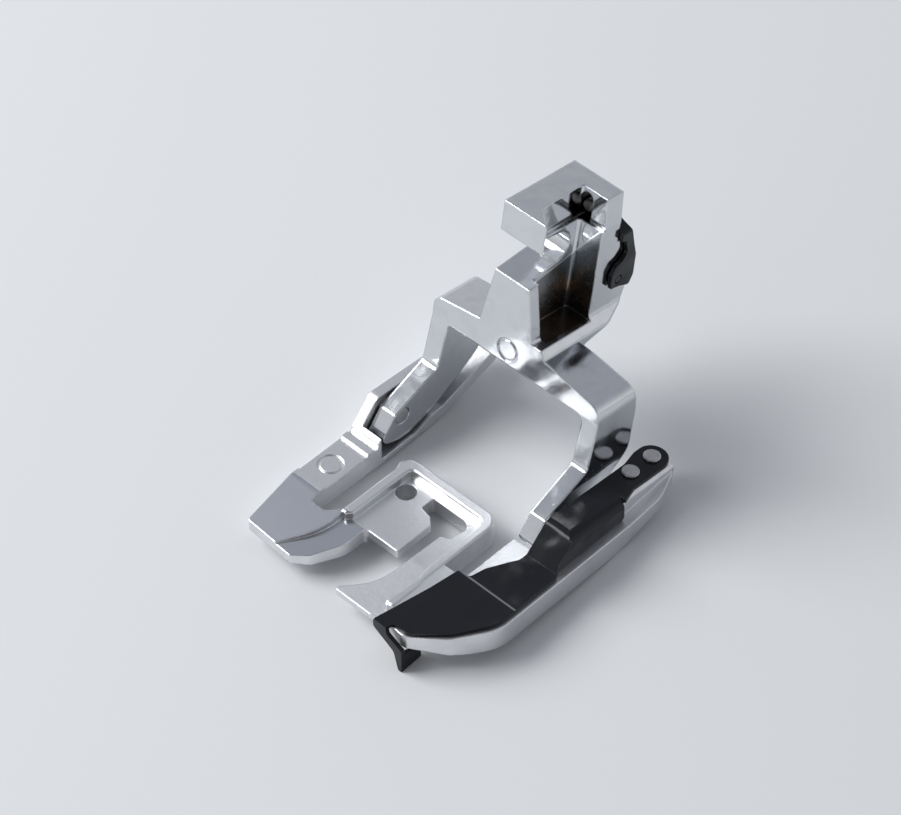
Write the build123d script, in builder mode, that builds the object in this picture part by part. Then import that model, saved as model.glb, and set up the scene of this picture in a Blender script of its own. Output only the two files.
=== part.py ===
from build123d import *
from math import cos, hypot, radians, sin
import os

# Presser foot. X runs to the right, Y to the back, Z up, in mm.
# The origin is where the needle crosses the underside of the sole.

# Sole, both runners
half_width = 16.0
runner_height = 3.05
runner_back = 21.5
tail_height = 4.8
tail_thickness = 1.6
heel_y = 10.5
edge_round = 0.3

# Sole, left toe and left runner
toe_front = -15.2
toe_lip = 1.5
toe_end = -7.6
left_inner = 4.2 - half_width
toe_inner = -5.0
band_front_x = -11.4
band_x = -8.0
band_turn = -10.6
slot_end = -8.8
rib_front = -7.24
rib_front_width = 0.75
rib_rear = 0.16
rib_rear_width = 1.0
pad_depth = 0.3
mark_x = -14.0
mark_y = -3.5
mark_radius = 1.5
mark_width = 0.3
mark_depth = 0.15

# Sole, centre frame
frame_left = -8.2
frame_right = 5.4
frame_back = 3.26
frame_front = -6.8
rim_height = 3.2
rim_width = 1.35
left_rim_width = 1.3
floor_height = 2.0
ridge_front = -13.75
ridge_back = -8.9
right_toe_front = -14.95
right_toe_lip = 1.18
right_toe_left = -2.3
tab_left = -4.6
tab_right = -0.3
tab_front = -7.07
tab_underside = 0.85
opening_left = -2.8
opening_right = 3.1
opening_back = 1.2
opening_front = -0.7
hole_x = -5.6
hole_y = -0.2
hole_radius = 1.2

# Sole, right runner
cheek_x = half_width - 7.8
bridge_back = -5.6
nose_front = -15.9
nose_lift = 1.3
ski_start = -11.0

# Ears, sockets and pivot
pivot_y = 6.1
pivot_z = 4.5
ear_foot = 1.5
ear_rise = 3.15
ear_height = 6.1
ear_fall = 1.35
ear_thickness = 1.3
right_ear = 3.4
ear_length = 6.2
socket_length = 5.9
socket_floor = 0.7
heel_rest = 1.72
leg_gap = 0.2
right_leg_gap = 0.6
pin_radius = 1.0
pin_clearance = 0.04

# Guide plate
plate_thickness = 0.5
plate_gap = 0.02
plate_outer = half_width - 0.4
plate_skirt_x = half_width - 1.05
plate_skirt_back = 12.6
plate_neck_y = 15.0
plate_bend = 0.7
tail_x = half_width - 3.65
tail_y = 19.9
tail_radius = 1.85
finger_x = cheek_x + 1.15
finger_drop = 1.9
finger_length = 3.0
finger_gap = 0.2
rivet_spacing = 3.5
rivet_radius = 1.05
rivet_shank = 0.6
rivet_dome = 0.4
rivet_depth = 1.2

# Yoke, measured from the pivot, square to its own stem
lean = 8.46
leg_left_outer = leg_gap + ear_thickness - half_width
leg_left_inner = leg_left_outer + 2.2
leg_right_outer = plate_skirt_x - plate_thickness - plate_gap - right_ear - right_leg_gap
leg_right_inner = leg_right_outer - 2.15
ear_inner = leg_right_outer + right_leg_gap
leg_lean = 0.2
heel_radius = 3.5
leg_knee_y = 4.85
leg_knee_z = 4.4
leg_crease_y = -1.4
leg_crease_z = 0.72
beam_bottom = 10.4
beam_top = 14.0
beam_fall_left = 0.9
beam_fall_right = 1.6
beam_front = 5.5
beam_back = 11.3
stem_left = -6.5
stem_right = 0.7
stem_flare = 1.2
flare_height = 7.4
stem_step = 1.8
block_top = 31.0
block_back = 16.6
channel_front = 7.0
channel_back = 13.6
channel_left = -2.5
channel_floor = 15.0
ledge_z = block_top - 4.0
ledge_depth = 0.5
lip_right = -0.4
wall_right = -1.0
wall_foot = -0.2
notch_y = 10.45
notch_z = block_top - 6.6
notch_radius = 2.1
notch_mouth = 2.85
window_x = -2.15
window_radius = 0.8
window_bottom = ledge_z
window_top = block_top - 0.6
mark_yoke_x = -3.3
mark_yoke_z = 12.3

# Release lever, measured like the yoke
lever_pin_y = 17.0
lever_pin_z = 19.3
lever_pin_radius = 0.55
lever_gap = 0.1
lever_cheek = 0.45
lever_top = block_top - 3.5
lever_head = 2.1
head_left = -3.5
head_right = -0.95
lever_foot = 4.0
lever_step = 6.1
lock_z = block_top - 2.5
lock_radius = 0.72
lock_front = channel_back + 0.6


def side_plane(x=0.0):
    """Upright plane across the foot at x, with local axes Y and Z."""
    return Plane(origin=(x, 0, 0), x_dir=(0, 1, 0), z_dir=(1, 0, 0))


def yoke_point(y, z):
    """A point of the leaning yoke's middle plane, from its own y and z."""
    c, s = cos(radians(lean)), sin(radians(lean))
    return (0, pivot_y + y * c + z * s, pivot_z - y * s + z * c)


def yoke_side(x=0.0):
    """Side plane that leans with the yoke, local axes its own y and z."""
    _, y, z = yoke_point(0, 0)
    along = (0, cos(radians(lean)), -sin(radians(lean)))
    return Plane(origin=(x, y, z), x_dir=along, z_dir=(1, 0, 0))


def yoke_front(y=0.0):
    """Plane across the yoke facing the sewer, local axes X and its own z."""
    facing = (0, -cos(radians(lean)), sin(radians(lean)))
    return Plane(origin=yoke_point(y, 0), x_dir=(1, 0, 0), z_dir=facing)


def yoke_level(z=0.0):
    """Plane square to the yoke's stem, local axes X and its own y."""
    up = (0, sin(radians(lean)), cos(radians(lean)))
    return Plane(origin=yoke_point(0, z), x_dir=(1, 0, 0), z_dir=up)


def outline(sketch, *corners):
    """Fill a shape whose corners are (x, y, corner radius)."""
    Polygon(*[(x, y) for x, y, _ in corners], align=None)
    for x, y, radius in corners:
        if radius > 0:
            fillet(sketch.vertices().sort_by_distance((x, y))[0], radius)


def deck_z(y):
    """Height of the right ear and of the tail pad behind it."""
    crest = ear_foot + ear_rise
    return ear_height - ear_fall * (y - crest) / (runner_back - crest)


def build_socket(x_low, x_high, back):
    """The space a leg turns in, above the floor that its heel rests on."""
    with BuildPart() as socket:
        with BuildSketch(side_plane(x_low)) as profile:
            wall_y = pivot_y - heel_radius - leg_gap - 0.1
            outline(
                profile,
                (wall_y, ear_height * 2, 0),
                (wall_y, socket_floor, 0.4),
                (pivot_y + 1.5, socket_floor, 1.0),
                (pivot_y + 4.1, heel_rest, 1.0),
                (pivot_y + socket_length, heel_rest + 0.15, 1.0),
                (back, heel_rest + 0.15 + (back - pivot_y - socket_length) * 0.33, 0),
                (back, ear_height * 2, 0),
            )
        extrude(amount=x_high - x_low)
    return socket.part


def build_corner(x, lift, radius, spare, back):
    """What lies outside a round along the deck's outer edge, above it by lift."""
    slope = deck_z(0) - deck_z(1)
    y = ear_foot + ear_rise - 0.5
    start = Plane(origin=(x, y, deck_z(y) + lift), x_dir=(1, 0, 0), z_dir=(0, 1, -slope))
    with BuildPart() as corner:
        with BuildSketch(start):
            with Locations(((spare - radius) / 2, (radius - spare) / 2)):
                Rectangle(radius + spare, radius + spare)
            with Locations((-radius, radius)):
                Circle(radius, mode=Mode.SUBTRACT)
        extrude(amount=back - y)
    return corner.part


def build_toe_cut():
    """What is taken off the toe to leave the low band along its inner edge."""
    with BuildPart() as cut:
        with BuildSketch(Plane.XY) as plan:
            outline(
                plan,
                (band_front_x, toe_front - 0.5, 0),
                (band_x, band_turn, 8.0),
                (band_x, frame_front + 0.1, 0),
                (toe_inner + 0.5, frame_front + 0.1, 0),
                (toe_inner + 0.5, toe_front - 0.5, 0),
            )
        extrude(amount=runner_height + 1.0)
        with BuildSketch(side_plane(band_front_x - 0.5)) as profile:
            outline(
                profile,
                (toe_front - 0.5, toe_lip - 0.1, 0),
                (toe_end, floor_height + 0.1, 0),
                (frame_front + 0.5, floor_height, 0),
                (frame_front + 0.5, runner_height + 1.0, 0),
                (toe_front - 0.5, runner_height + 1.0, 0),
            )
        extrude(amount=half_width, mode=Mode.INTERSECT)
    return cut.part


def build_left_side():
    """Left toe, ribbed runner, ear and tail."""
    with BuildPart() as left:
        with BuildSketch(Plane.XY) as plan:
            outline(
                plan,
                (-half_width, runner_back, 1.5),
                (-half_width, toe_end, 2.0),
                (-half_width + 0.5, toe_front + 0.4, 0.3),
                (-8.65, toe_front, 0.3),
                (-6.9, toe_front + 1.4, 1.2),
                (-5.1, toe_front + 5.0, 4.0),
                (toe_inner, frame_front, 0),
                (frame_left, frame_front, 0),
                (frame_left, slot_end + 1.4, 0.5),
                (frame_left - 1.4, slot_end, 0.6),
                (left_inner, slot_end, 0.5),
                (left_inner, runner_back, 0.9),
            )
        extrude(amount=ear_height + 1.0)
        with BuildSketch(side_plane(-half_width)) as profile:
            outline(
                profile,
                (toe_front - 0.5, 0.3, 0),
                (toe_front - 0.5, toe_lip, 0),
                (toe_end, runner_height, 1.5),
                (ear_foot, runner_height, 0.8),
                (ear_foot + ear_rise, ear_height + plate_thickness, 1.2),
                (pivot_y + ear_length, ear_height, 1.2),
                (runner_back, tail_height, 0.6),
                (runner_back, tail_height - tail_thickness, 0.6),
                (heel_y, 0, 4.0),
                (toe_front + 1.8, 0, 2.0),
            )
        extrude(amount=half_width + toe_inner + 0.5, mode=Mode.INTERSECT)
        add(build_toe_cut(), mode=Mode.SUBTRACT)
        # The pad between the ribs
        pad_front = rib_front + rib_front_width
        for y_low, y_high in ((pad_front, rib_rear), (rib_rear + rib_rear_width, ear_foot + 0.3)):
            with BuildSketch(side_plane(-half_width)):
                with Locations(((y_low + y_high) / 2, runner_height)):
                    Rectangle(y_high - y_low, 2 * pad_depth)
            extrude(amount=half_width + left_inner + 0.1, mode=Mode.SUBTRACT)
        with BuildSketch(Plane.XY.offset(runner_height - pad_depth - mark_depth)):
            with Locations((mark_x, mark_y)):
                Circle(mark_radius)
                Circle(mark_radius - mark_width, mode=Mode.SUBTRACT)
        extrude(amount=pad_depth, mode=Mode.SUBTRACT)
        add(build_socket(-half_width + ear_thickness, 0, runner_back + 1.0), mode=Mode.SUBTRACT)
    return left.part


def build_frame():
    """Centre frame with its rim, floor, tab, openings and right toe."""
    with BuildPart() as frame:
        with BuildSketch(Plane.XY) as plan:
            outline(
                plan,
                (frame_left, frame_front - 0.6, 0),
                (frame_left, frame_back - 0.6, 0.5),
                (frame_left + 1.2, frame_back, 0.8),
                (frame_right, frame_back, 1.8),
                (frame_right, ridge_back, 0),
                (frame_right + 0.2, ridge_front, 0.5),
                (frame_right - 2.0, right_toe_front, 0.4),
                (right_toe_left, right_toe_front, 0.3),
                (0.84, -11.6, 6.0),
                (1.4, -8.3, 6.0),
                (1.6, -2.3, 0.4),
                (opening_right - 0.4, -1.9, 0.6),
                (opening_right, opening_back, 1.2),
                (opening_left, opening_back, 0.4),
                (opening_left, opening_front, 0.3),
                (tab_right - 0.9, opening_front - 0.3, 0.5),
                (tab_right, opening_front - 1.1, 0.3),
                (tab_right, tab_front, 0.15),
                (tab_left, tab_front, 0.15),
                (toe_inner, frame_front - 0.6, 0),
            )
        extrude(amount=rim_height)
        with BuildSketch(side_plane(frame_left)) as profile:
            outline(
                profile,
                (right_toe_front - 0.5, 0.45, 0),
                (right_toe_front - 0.5, right_toe_lip - 0.05, 0),
                (frame_front, floor_height, 0),
                (frame_back + 0.5, floor_height, 0),
                (frame_back + 0.5, 0, 0),
                (right_toe_front + 3.0, 0, 2.5),
            )
        extrude(amount=frame_right - frame_left + 1.0, mode=Mode.INTERSECT)
        # The thin tab in front of the needle
        with BuildSketch(Plane.XY):
            with Locations(((tab_left + tab_right) / 2, (tab_front + opening_front) / 2 - 0.6)):
                Rectangle(tab_right - tab_left + 0.4, opening_front - tab_front - 0.4)
        extrude(amount=tab_underside, mode=Mode.SUBTRACT)
        # The raised rim round the floor and along the right toe
        with BuildSketch(Plane.XY) as rim:
            outline(
                rim,
                (frame_left, frame_front - 0.9, 0.2),
                (frame_left, frame_back - 2.4, 0.3),
                (frame_left - 0.45, frame_back - 1.4, 0.5),
                (frame_left + 0.3, frame_back - 0.2, 0.5),
                (frame_left + 1.6, frame_back, 0.8),
                (frame_right, frame_back, 1.8),
                (frame_right, ridge_back, 0.2),
                (frame_right + 0.2, ridge_back - 0.4, 0.2),
                (frame_right + 0.2, ridge_front, 0.4),
                (frame_right - 1.1, ridge_front, 0.4),
                (frame_right - 0.75, ridge_back, 0.3),
                (frame_right - 1.2, ridge_back + 2.2, 0.2),
                (frame_right - 1.2, opening_back + 0.2, 0.8),
                (frame_right - 1.9, frame_back - rim_width, 0.3),
                (frame_left + left_rim_width + 0.1, frame_back - rim_width, 0.5),
                (frame_left + left_rim_width, frame_front - 0.2, 0.4),
                (frame_left + left_rim_width - 0.6, frame_front - 0.9, 0.2),
            )
        extrude(amount=rim_height)
        fillet(frame.faces().sort_by(Axis.Z)[-1].edges(), edge_round)
        # Round hole through the floor
        with Locations(Plane.XY.offset(floor_height)):
            with Locations((hole_x, hole_y)):
                Hole(hole_radius)
    return frame.part


def build_right_side():
    """Right runner with its sled nose, bridge, ear and tail."""
    with BuildPart() as runner:
        with BuildSketch(Plane.XY) as plan:
            outline(
                plan,
                (frame_right - 0.6, ridge_front - 0.2, 0.3),
                (frame_right + 0.6, nose_front + 0.4, 0.6),
                (cheek_x + 1.0, nose_front, 1.4),
                (half_width - 3.0, -12.9, 3.0),
                (half_width, -8.2, 5.0),
                (half_width, runner_back - 4.0, 5.0),
                (half_width - 1.6, runner_back, 1.8),
                (tail_x - tail_radius - 0.1, runner_back, 1.8),
                (tail_x - tail_radius - 0.1, tail_y - tail_radius - 0.5, 0.5),
                (ear_inner, tail_y - tail_radius - 1.2, 0.5),
                (ear_inner, heel_y + 2.0, 0.5),
                (cheek_x, heel_y + 2.0, 0.5),
                (cheek_x, bridge_back, 0.8),
                (frame_right - 0.2, bridge_back, 0),
            )
        extrude(amount=ear_height)
        with BuildSketch(side_plane(frame_right - 2.0)) as profile:
            outline(
                profile,
                (nose_front - 0.5, nose_lift + 0.1, 0),
                (nose_front - 0.5, runner_height, 0),
                (heel_y + 2.0, runner_height, 3.0),
                (runner_back + 0.5, tail_height - 0.8, 0),
                (runner_back + 0.5, tail_height - tail_thickness - 0.2, 0),
                (heel_y, 0, 4.0),
                (ski_start, 0, 8.0),
            )
        extrude(amount=half_width, mode=Mode.INTERSECT)
        # The ear and the pad behind it, under the plate
        with BuildSketch(side_plane(ear_inner)) as ear:
            outline(
                ear,
                (ear_foot - 1.0, runner_height - 1.0, 0),
                (ear_foot, runner_height, 0.4),
                (ear_foot + ear_rise, ear_height, 0.8),
                (runner_back - 0.2, deck_z(runner_back - 0.2), 0.5),
                (runner_back - 0.4, deck_z(runner_back) - tail_thickness, 0),
                (heel_y + 2.0, runner_height - 1.0, 0),
            )
        ear_outer = plate_skirt_x - plate_thickness - plate_gap
        extrude(amount=ear_outer - ear_inner)
        add(build_corner(ear_outer, 0, plate_bend, 0.3, runner_back + 0.5), mode=Mode.SUBTRACT)
        socket_back = heel_y + 2.6
        add(build_socket(cheek_x - 1.0, ear_inner, socket_back), mode=Mode.SUBTRACT)
    return runner.part


def tail_plane(y):
    """Plane on the plate's sloping tail, at the middle of its width."""
    slope = deck_z(0) - deck_z(1)
    z = deck_z(y) + plate_gap + plate_thickness * hypot(1, slope)
    return Plane(origin=(tail_x, y, z), x_dir=(1, 0, 0), z_dir=(0, slope, 1))


# Sole, one casting
with BuildPart() as sole:
    add(build_left_side())
    add(build_frame())
    add(build_right_side())
    for x_low, x_high in ((-half_width, left_inner), (cheek_x, plate_skirt_x)):
        with BuildSketch(side_plane(x_low - 1.0)):
            with Locations((pivot_y, pivot_z)):
                Circle(pin_radius)
        extrude(amount=x_high - x_low + 1.0, mode=Mode.SUBTRACT)
    for y in (tail_y, tail_y - rivet_spacing):
        with BuildSketch(tail_plane(y)):
            Circle(rivet_shank)
        extrude(amount=-plate_thickness - rivet_depth, mode=Mode.SUBTRACT)
sole.part.label = "sole"


# Guide plate, one formed strip
with BuildPart() as plate:
    lift = runner_height + plate_gap
    with BuildSketch(side_plane(frame_right - 1.0)) as band:
        under = [
            (nose_front - 3.0, 0, 0),
            (nose_front - 3.0, lift, 0),
            (ear_foot, lift, 0.4),
            (ear_foot + ear_rise, ear_height + plate_gap, 0.8),
            (runner_back + 3.0, deck_z(runner_back + 3.0) + plate_gap, 0),
            (runner_back + 3.0, 0, 0),
        ]
        outline(band, *under)
        offset(amount=plate_thickness)
        with BuildSketch(side_plane(frame_right - 1.0), mode=Mode.SUBTRACT) as hollow:
            outline(hollow, *under)
    extrude(amount=half_width)
    with BuildSketch(Plane.XY.offset(runner_height - 0.5)) as plan:
        outline(
            plan,
            (frame_right + 0.05, nose_front - 0.7, 0.2),
            (frame_right + 0.5, -14.2, 2.0),
            (frame_right + 1.4, -9.3, 4.0),
            (frame_right + 1.9, bridge_back + 0.25, 0.2),
            (cheek_x + 0.6, bridge_back + 0.25, 0.6),
            (cheek_x + 1.0, -3.3, 2.0),
            (cheek_x + 2.2, -0.9, 1.5),
            (ear_inner, ear_foot - 1.3, 1.0),
            (ear_inner, tail_y - tail_radius - 1.2, 0.6),
            (tail_x - tail_radius, tail_y - 0.9, 0.8),
            (tail_x - tail_radius, tail_y + tail_radius, tail_radius - 0.05),
            (tail_x + tail_radius, tail_y + tail_radius, tail_radius - 0.05),
            (tail_x + tail_radius, plate_neck_y, 1.0),
            (plate_skirt_x, plate_skirt_back, 0.5),
            (plate_skirt_x, ear_foot + 0.6, 0.5),
            (plate_outer, ear_foot - 0.4, 0.5),
            (plate_outer, -7.9, 5.0),
            (plate_outer - 2.7, -12.4, 3.0),
            (cheek_x + 1.4, nose_front + 0.4, 1.5),
            (frame_right + 2.0, nose_front + 0.3, 0.4),
            (frame_right + 1.9, nose_front - 0.7, 0.1),
        )
    extrude(amount=ear_height * 2, mode=Mode.INTERSECT)
    # Folded skirt outside the ear
    with BuildSketch(side_plane(plate_skirt_x - plate_thickness)) as skirt:
        outline(
            skirt,
            (ear_foot - 0.1, lift, 0),
            (ear_foot + ear_rise - 0.1, ear_height + plate_gap + 0.2, 0.6),
            (plate_skirt_back, ear_height - 0.4, 0),
            (plate_skirt_back, lift, 0.5),
        )
    extrude(amount=plate_thickness)
    # Rounded bend between the deck and the skirt
    bend_x = plate_skirt_x - plate_thickness
    add(build_corner(bend_x, plate_gap, plate_bend, 0, plate_skirt_back))
    outer_bend = (plate_skirt_x, plate_gap + plate_thickness, plate_bend + plate_thickness)
    add(build_corner(*outer_bend, 0.3, plate_skirt_back + 0.3), mode=Mode.SUBTRACT)
    # Finger bent down in front of the nose, with the guide blade behind it
    finger_y = nose_front - finger_gap
    with BuildSketch(Plane(origin=(0, finger_y, 0), x_dir=(1, 0, 0), z_dir=(0, -1, 0))) as finger:
        outline(
            finger,
            (frame_right + 0.05, lift + plate_thickness, 0.2),
            (frame_right + 1.9, lift + plate_thickness, 0),
            (frame_right + 2.0, lift - 0.5, 0.6),
            (finger_x - 0.4, nose_lift + 0.5, 0.5),
            (finger_x + 0.25, nose_lift + 0.2, 0.2),
            (finger_x + 0.25, -finger_drop, 0),
            (finger_x - 0.25, -finger_drop, 0),
            (finger_x - 0.9, nose_lift - 0.7, 0.8),
            (frame_right + 0.05, lift - 0.6, 0.5),
        )
    extrude(amount=plate_thickness)
    with BuildSketch(side_plane(finger_x - 0.25)) as blade:
        outline(
            blade,
            (finger_y - plate_thickness, nose_lift - 0.5, 0),
            (finger_y - plate_thickness, -finger_drop, 0.2),
            (finger_y - plate_thickness + finger_length, -finger_drop, 0.4),
            (finger_y - plate_thickness + finger_length, -0.2, 0.2),
            (finger_y + 0.3, nose_lift - 0.7, 0),
        )
    extrude(amount=plate_thickness)
    for y in (tail_y, tail_y - rivet_spacing):
        with BuildSketch(tail_plane(y).offset(1.0)):
            Circle(rivet_shank)
        extrude(amount=-plate_thickness - 2.0, mode=Mode.SUBTRACT)
plate.part.label = "guide_plate"


def build_rivet(y):
    """Domed rivet through the plate's tail into the runner."""
    seat = tail_plane(y)
    with BuildPart() as rivet:
        with BuildSketch(seat):
            Circle(rivet_radius)
        extrude(amount=rivet_dome)
        fillet(rivet.faces().sort_by(Axis.Z)[-1].edges(), rivet_dome - 0.02)
        with BuildSketch(seat):
            Circle(rivet_shank)
        extrude(amount=-plate_thickness - rivet_depth)
    return rivet.part


rivet_front = build_rivet(tail_y - rivet_spacing)
rivet_front.label = "rivet_front"
rivet_rear = build_rivet(tail_y)
rivet_rear.label = "rivet_rear"


def build_pivot_pin(x_low, x_high):
    """Pin pressed in an ear, with eased ends."""
    with BuildPart() as pin:
        with BuildSketch(side_plane(x_low)):
            with Locations((pivot_y, pivot_z)):
                Circle(pin_radius)
        extrude(amount=x_high - x_low)
        chamfer(pin.edges().filter_by(GeomType.CIRCLE), 0.15)
    return pin.part


pivot_pin_left = build_pivot_pin(-half_width + 0.1, leg_left_inner + 0.1)
pivot_pin_left.label = "pivot_pin_left"
pivot_pin_right = build_pivot_pin(
    leg_right_inner - 0.1, plate_skirt_x - plate_thickness - plate_gap - 0.1
)
pivot_pin_right.label = "pivot_pin_right"


def build_portal():
    """Beam and both legs of the yoke."""
    with BuildPart() as portal:
        with BuildSketch(yoke_front(-heel_radius - 1.0)) as face:
            foot = -heel_radius - 0.5
            outline(
                face,
                (leg_left_outer, foot, 0),
                (leg_left_outer + leg_lean, beam_top - beam_fall_left, 1.2),
                (stem_left - stem_flare, beam_top, 1.0),
                (stem_right + stem_flare, beam_top, 1.0),
                (leg_right_outer - leg_lean, beam_top - beam_fall_right, 1.8),
                (leg_right_outer, foot, 0),
                (leg_right_inner, foot, 0),
                (leg_right_inner - leg_lean, beam_bottom, 1.0),
                (leg_left_inner + 2 * leg_lean, beam_bottom, 0.6),
                (leg_left_inner, foot, 0),
            )
        extrude(amount=-heel_radius - beam_back - 4.0)
        with BuildSketch(yoke_side(leg_left_outer - 0.5)) as profile:
            outline(
                profile,
                (beam_front, beam_top + 1.0, 0),
                (beam_front, beam_bottom, 3.0),
                (leg_knee_y, leg_knee_z, 0.8),
                (leg_crease_y, leg_crease_z, 0.15),
                (-2.85, -1.9, 0.4),
                (-2.3, -2.95, 0.8),
                (0.0, -heel_radius, 2.5),
                (1.6, -3.3, 2.5),
                (4.5, -2.0, 1.5),
                (8.8, 1.3, 2.0),
                (beam_back + 0.35, 4.0, 2.0),
                (beam_back + 0.55, 9.4, 3.0),
                (beam_back, beam_top - 0.4, 1.0),
                (beam_back - 0.9, beam_top + 1.0, 0),
            )
        extrude(amount=leg_right_outer - leg_left_outer + 1.0, mode=Mode.INTERSECT)
    return portal.part


def build_stem():
    """Stem and clamp block, before the channel is cut."""
    with BuildPart() as stem:
        with BuildSketch(yoke_side(stem_left - 2.0)) as profile:
            outline(
                profile,
                (beam_front, beam_bottom, 0),
                (beam_front, block_top, 0),
                (block_back, block_top, 0),
                (block_back, lever_top - 3.1, 0),
                (block_back + 0.9, lever_top - 3.3, 0.3),
                (block_back + stem_step - 0.1, lever_top - 5.9, 1.0),
                (block_back + stem_step, lever_pin_z - 2.2, 0),
                (block_back + 2.7, lever_pin_z - 2.25, 0.3),
                (block_back + 2.3, beam_top + 1.4, 2.0),
                (block_back - 1.2, beam_top - 0.3, 1.5),
                (beam_back + 1.0, beam_top - 1.0, 0.5),
                (beam_back - 0.5, beam_bottom, 0),
            )
        extrude(amount=stem_right - stem_left + 4.0)
        with BuildSketch(yoke_front(beam_front - 1.0)) as face:
            outline(
                face,
                (stem_left - stem_flare, beam_bottom, 0),
                (stem_left - stem_flare, beam_top, 0.6),
                (stem_left, beam_top + flare_height, 4.0),
                (stem_left, block_top, 0),
                (stem_right - 0.1, block_top, 0),
                (stem_right + 0.2, ledge_z, 0),
                (stem_right + 0.1, beam_top + 1.6, 1.0),
                (stem_right + stem_flare, beam_top, 0.6),
                (stem_right + stem_flare, beam_bottom, 0),
            )
        extrude(amount=-block_back, mode=Mode.INTERSECT)
    return stem.part


# Yoke, one casting
with BuildPart() as yoke:
    add(build_portal())
    add(build_stem())
    # Channel for the presser bar, open to the right and to the top
    with BuildSketch(yoke_level(channel_floor)) as lower:
        outline(
            lower,
            (channel_left, channel_front, 0.4),
            (stem_right + 3.0, channel_front, 0),
            (stem_right + 3.0, channel_back, 0),
            (channel_left, channel_back, 0.5),
        )
    extrude(amount=ledge_z - channel_floor, mode=Mode.SUBTRACT)
    with BuildSketch(yoke_level(ledge_z)) as upper:
        outline(
            upper,
            (channel_left - ledge_depth, channel_front + 0.7, 0.2),
            (lip_right - 1.8, channel_front, 0.2),
            (lip_right + 0.6, beam_front - 0.5, 0),
            (stem_right + 3.0, beam_front - 0.5, 0),
            (stem_right + 3.0, channel_back + ledge_depth, 0),
            (channel_left - ledge_depth, channel_back + ledge_depth, 0.4),
        )
    extrude(amount=block_top - ledge_z + 1.0, mode=Mode.SUBTRACT)
    # Right edge of the channel's front wall, slanting out to its foot
    with BuildSketch(yoke_front(beam_front - 1.0)) as slant:
        outline(
            slant,
            (wall_right, ledge_z, 0),
            (wall_right - 0.5, notch_z - notch_mouth, 0),
            (wall_foot, channel_floor, 0.4),
            (stem_right + 3.0, channel_floor, 0),
            (stem_right + 3.0, ledge_z, 0),
        )
    extrude(amount=beam_front - channel_front - 1.5, mode=Mode.SUBTRACT)
    # Notch for the thumb screw, open to the front
    with BuildSketch(yoke_side(stem_left - 2.0)) as notch:
        outline(
            notch,
            (beam_front - 1.0, notch_z + notch_mouth, 0),
            (notch_y, notch_z + notch_radius, 0),
            (notch_y, notch_z - notch_radius, 0),
            (beam_front - 1.0, notch_z - notch_mouth, 0),
        )
        with Locations((notch_y, notch_z)):
            Circle(notch_radius)
    extrude(amount=channel_left - stem_left + 5.5, mode=Mode.SUBTRACT)
    # Window for the lock pin in the channel's back wall
    with BuildSketch(yoke_front(channel_back - 0.5)) as window:
        with Locations((window_x, (window_bottom + window_top) / 2)):
            Rectangle(2 * window_radius, window_top - window_bottom)
        fillet(window.vertices().group_by(Axis.Y)[-1], window_radius - 0.01)
    extrude(amount=channel_back - block_back - 3.0, mode=Mode.SUBTRACT)
    # Bores for the pivot pins
    for x in (leg_left_outer - 0.5, leg_right_inner - 0.5):
        with BuildSketch(yoke_side(x)):
            Circle(pin_radius + pin_clearance)
        extrude(amount=leg_right_outer - leg_right_inner + 1.0, mode=Mode.SUBTRACT)
    # Bore for the lever's pin
    with BuildSketch(yoke_side(stem_left - 2.5)):
        with Locations((lever_pin_y, lever_pin_z)):
            Circle(lever_pin_radius)
    extrude(amount=stem_right - stem_left + 5.0, mode=Mode.SUBTRACT)
    # Round mark on the front face
    with BuildSketch(yoke_front(beam_front + mark_depth)):
        with Locations((mark_yoke_x, mark_yoke_z)):
            Circle(mark_radius)
            Circle(mark_radius - mark_width, mode=Mode.SUBTRACT)
    extrude(amount=1.0, mode=Mode.SUBTRACT)
yoke.part.label = "yoke"


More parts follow.
